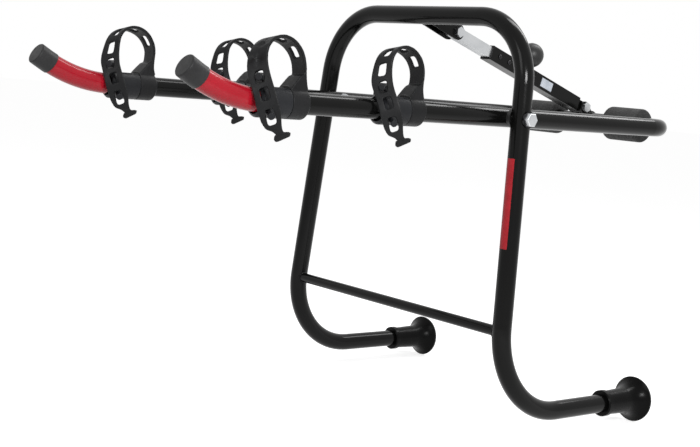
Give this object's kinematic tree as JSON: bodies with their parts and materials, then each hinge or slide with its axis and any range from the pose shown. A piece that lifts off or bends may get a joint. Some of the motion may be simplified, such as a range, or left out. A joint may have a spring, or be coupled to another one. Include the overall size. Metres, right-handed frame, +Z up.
{
  "type": "bike carrier",
  "caption": "Trunk-mounted bike carrier: bent tube hoop with rubber feet, folding arm frame with strapped cradles, foam rollers and a telescopic clamping strut.",
  "frame": {"origin": "half way between the soles of the two rubber feet, on the line where they bear on the car", "axes": "+Z up, +X towards the car, +Y to the left of a person who faces the car"},
  "size_m": [0.8736, 0.502, 0.553],
  "materials": {
    "black_paint": "gloss powder coat on steel tube",
    "zinc": "bright zinc plate",
    "foot_rubber": "satin moulded rubber",
    "strap_rubber": "matt moulded rubber",
    "cradle_plastic": "fine moulded texture",
    "black_plastic": "satin moulded",
    "roller_foam": "closed-cell foam",
    "red_sleeve": "gloss vinyl",
    "red_sticker": "vinyl film",
    "silver_sticker": "satin film",
    "nylon": "moulded nylon"
  },
  "bodies": {
    "hoop": {"hoop_frame": "black_paint", "hoop_cross_bar": "black_paint", "foot_right": "foot_rubber", "foot_left": "foot_rubber", "strut_top_bracket": "black_paint", "top_pin_bolt": "zinc", "top_pin_nut": "zinc", "leg_label": "red_sticker", "leg_bush_right": "zinc", "saddle_spacer_right": "nylon", "head_washer_right": "zinc", "pivot_bolt_right": "zinc", "nut_washer_right": "zinc", "lock_nut_right": "zinc", "leg_bush_left": "zinc", "saddle_spacer_left": "nylon", "head_washer_left": "zinc", "pivot_bolt_left": "zinc", "nut_washer_left": "zinc", "lock_nut_left": "zinc"},
    "arms": {"arm_frame": "black_paint", "strut_low_bracket": "black_paint", "arm_bush_right": "zinc", "roller_right": "roller_foam", "tip_grip_right": "red_sleeve", "tip_cap_right": "black_plastic", "low_pin_bolt_right": "zinc", "arm_bush_left": "zinc", "roller_left": "roller_foam", "tip_grip_left": "red_sleeve", "tip_cap_left": "black_plastic", "low_pin_bolt_left": "zinc"},
    "strut_bar": {"strut_bar": "zinc", "bar_stop_plug": "nylon"},
    "strut_sleeve": {"strut_sleeve": "black_paint", "sleeve_eye": "black_paint", "clamp_boss": "black_paint", "guide_screws": "zinc", "strut_label": "silver_sticker"},
    "knob": {"clamp_knob": "black_plastic", "knob_stud": "zinc"},
    "cradle_outer_right": {"cradle_outer_right": "cradle_plastic", "strap_outer_right": "strap_rubber"},
    "cradle_outer_left": {"cradle_outer_left": "cradle_plastic", "strap_outer_left": "strap_rubber"},
    "cradle_inner_right": {"cradle_inner_right": "cradle_plastic", "strap_inner_right": "strap_rubber"},
    "cradle_inner_left": {"cradle_inner_left": "cradle_plastic", "strap_inner_left": "strap_rubber"}
  },
  "joints": [
    {"name": "arm_fold", "type": "hinge", "parent": "hoop", "child": "arms", "pos_m": [-0.269, 0, 0.381], "axis": [0, 1, 0], "range_deg": [0, 45]},
    {"name": "strut_swing", "type": "hinge", "parent": "hoop", "child": "strut_bar", "pos_m": [-0.211, 0, 0.491], "axis": [0, 1, 0], "range_deg": [0, 42.02]},
    {"name": "strut_slide", "type": "slide", "parent": "strut_bar", "child": "strut_sleeve", "axis": [0.953, 0, -0.3031], "range_m": [0, 0.09361]},
    {"name": "knob_turn", "type": "hinge", "parent": "strut_sleeve", "child": "knob", "pos_m": [-0.05567, 0, 0.4416], "axis": [0.3031, 0, 0.953], "range_deg": [0, 360]},
    {"name": "cradle_outer_right_turn", "type": "hinge", "parent": "arms", "child": "cradle_outer_right", "pos_m": [-0.629, -0.1705, 0.381], "axis": [1, 0, 0], "range_deg": [-15, 15]},
    {"name": "cradle_outer_left_turn", "type": "hinge", "parent": "arms", "child": "cradle_outer_left", "pos_m": [-0.62, 0.1705, 0.381], "axis": [1, 0, 0], "range_deg": [-15, 15]},
    {"name": "cradle_inner_right_turn", "type": "hinge", "parent": "arms", "child": "cradle_inner_right", "pos_m": [-0.454, -0.1705, 0.381], "axis": [1, 0, 0], "range_deg": [-15, 15]},
    {"name": "cradle_inner_left_turn", "type": "hinge", "parent": "arms", "child": "cradle_inner_left", "pos_m": [-0.453, 0.1705, 0.381], "axis": [1, 0, 0], "range_deg": [-15, 15]}
  ],
  "couplings": [
    {"joint": "strut_swing", "follows": "arm_fold", "ratio": 0.93364},
    {"joint": "strut_slide", "follows": "arm_fold", "m_per_rad": 0.11906}
  ]
}
